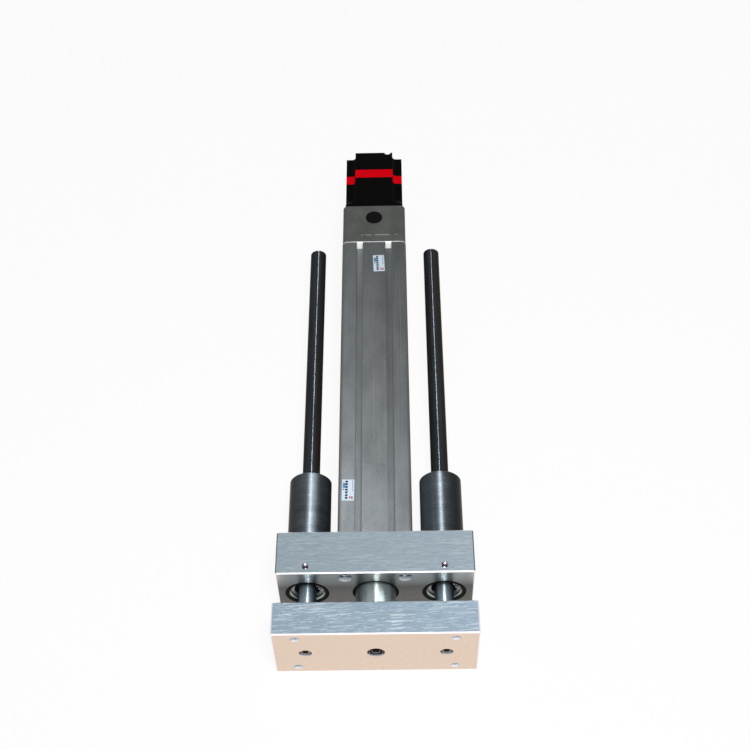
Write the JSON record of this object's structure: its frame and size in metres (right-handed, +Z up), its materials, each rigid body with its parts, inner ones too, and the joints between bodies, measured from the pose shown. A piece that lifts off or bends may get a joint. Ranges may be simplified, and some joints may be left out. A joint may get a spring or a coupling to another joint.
{
  "type": "guided electric cylinder",
  "caption": "Guided electric cylinder: a motor and ball screw push a rod and front plate out of a slotted barrel, kept square by guide rods in a bearing block.",
  "frame": {"origin": "centre of the four base holes on the guide block's underside", "axes": "+Y from the front plate to the motor along the rod, +Z up out of the mounting face, +X to the right seen from the front plate"},
  "size_m": [0.172, 0.582, 0.068],
  "materials": {
    "brushed_aluminium": "brushed, bare",
    "anodised_barrel": "matt grey anodised extrusion",
    "anodised_housing": "matt grey anodised",
    "black_steel": "turned, black oxide",
    "hard_chrome": "ground and polished",
    "bearing_steel": "ground",
    "screw_steel": "plated",
    "inner_aluminium": "machined",
    "black_plastic": "moulded",
    "black_rubber": "moulded",
    "bronze": "sintered",
    "motor_black": "satin black paint",
    "motor_red": "satin red paint",
    "laminated_iron": "stacked laminations"
  },
  "bodies": {
    "base": {"guide_block": "brushed_aluminium", "barrel": "anodised_barrel", "bearing_housing": "anodised_housing", "coupling_housing": "anodised_housing", "bearing_sleeve_left": "black_steel", "bearing_sleeve_right": "black_steel", "bearing_shell_left_front": "bearing_steel", "bearing_shell_left_rear": "bearing_steel", "bearing_shell_right_front": "bearing_steel", "bearing_shell_right_rear": "bearing_steel", "retaining_rings": "bearing_steel", "screw_bearing_front": "bearing_steel", "screw_bearing_rear": "bearing_steel", "bearing_retainer": "bearing_steel", "motor_bearing_front": "bearing_steel", "motor_bearing_rear": "bearing_steel", "block_screws": "screw_steel", "set_screws": "screw_steel", "housing_screws": "screw_steel", "coupling_housing_screws": "screw_steel", "motor_screws": "screw_steel", "motor_cover_screws": "screw_steel", "rod_gland": "inner_aluminium", "ball_cage_left_front": "black_plastic", "ball_cage_left_rear": "black_plastic", "ball_cage_right_front": "black_plastic", "ball_cage_right_rear": "black_plastic", "bearing_seals": "black_rubber", "rod_scraper": "black_rubber", "rod_wiper": "black_rubber", "front_bumper": "black_rubber", "rear_bumper": "black_rubber", "access_plug": "black_rubber", "cable_grommet": "black_rubber", "rod_bush": "bronze", "motor_flange": "motor_black", "motor_stator": "motor_black", "motor_rear_cover": "motor_black", "motor_rear_shield": "motor_red"},
    "carriage": {"front_plate": "brushed_aluminium", "rod_end_screw": "screw_steel", "guide_rod_screws": "screw_steel", "guide_rod_left": "hard_chrome", "guide_rod_right": "hard_chrome", "piston_rod": "hard_chrome", "nut_carrier": "inner_aluminium", "guide_ring": "black_plastic", "ball_nut": "bearing_steel", "nut_screws": "screw_steel"},
    "drive": {"ball_screw": "bearing_steel", "bearing_locknut": "bearing_steel", "screw_coupling_hub": "inner_aluminium", "coupling_spider": "black_rubber", "motor_coupling_hub": "inner_aluminium", "coupling_clamp_screws": "screw_steel", "motor_shaft": "bearing_steel", "motor_rotor": "laminated_iron", "encoder_disc": "black_plastic"}
  },
  "joints": [
    {"name": "rod_slide", "type": "slide", "parent": "base", "child": "carriage", "axis": [0, -1, 0], "range_m": [0, 0.25]},
    {"name": "screw_spin", "type": "hinge", "parent": "base", "child": "drive", "pos_m": [0, 0, 0.034], "axis": [0, 1, 0], "range_deg": [0, 9000]}
  ],
  "couplings": [
    {"joint": "screw_spin", "follows": "rod_slide", "rad_per_m": 628.32}
  ]
}
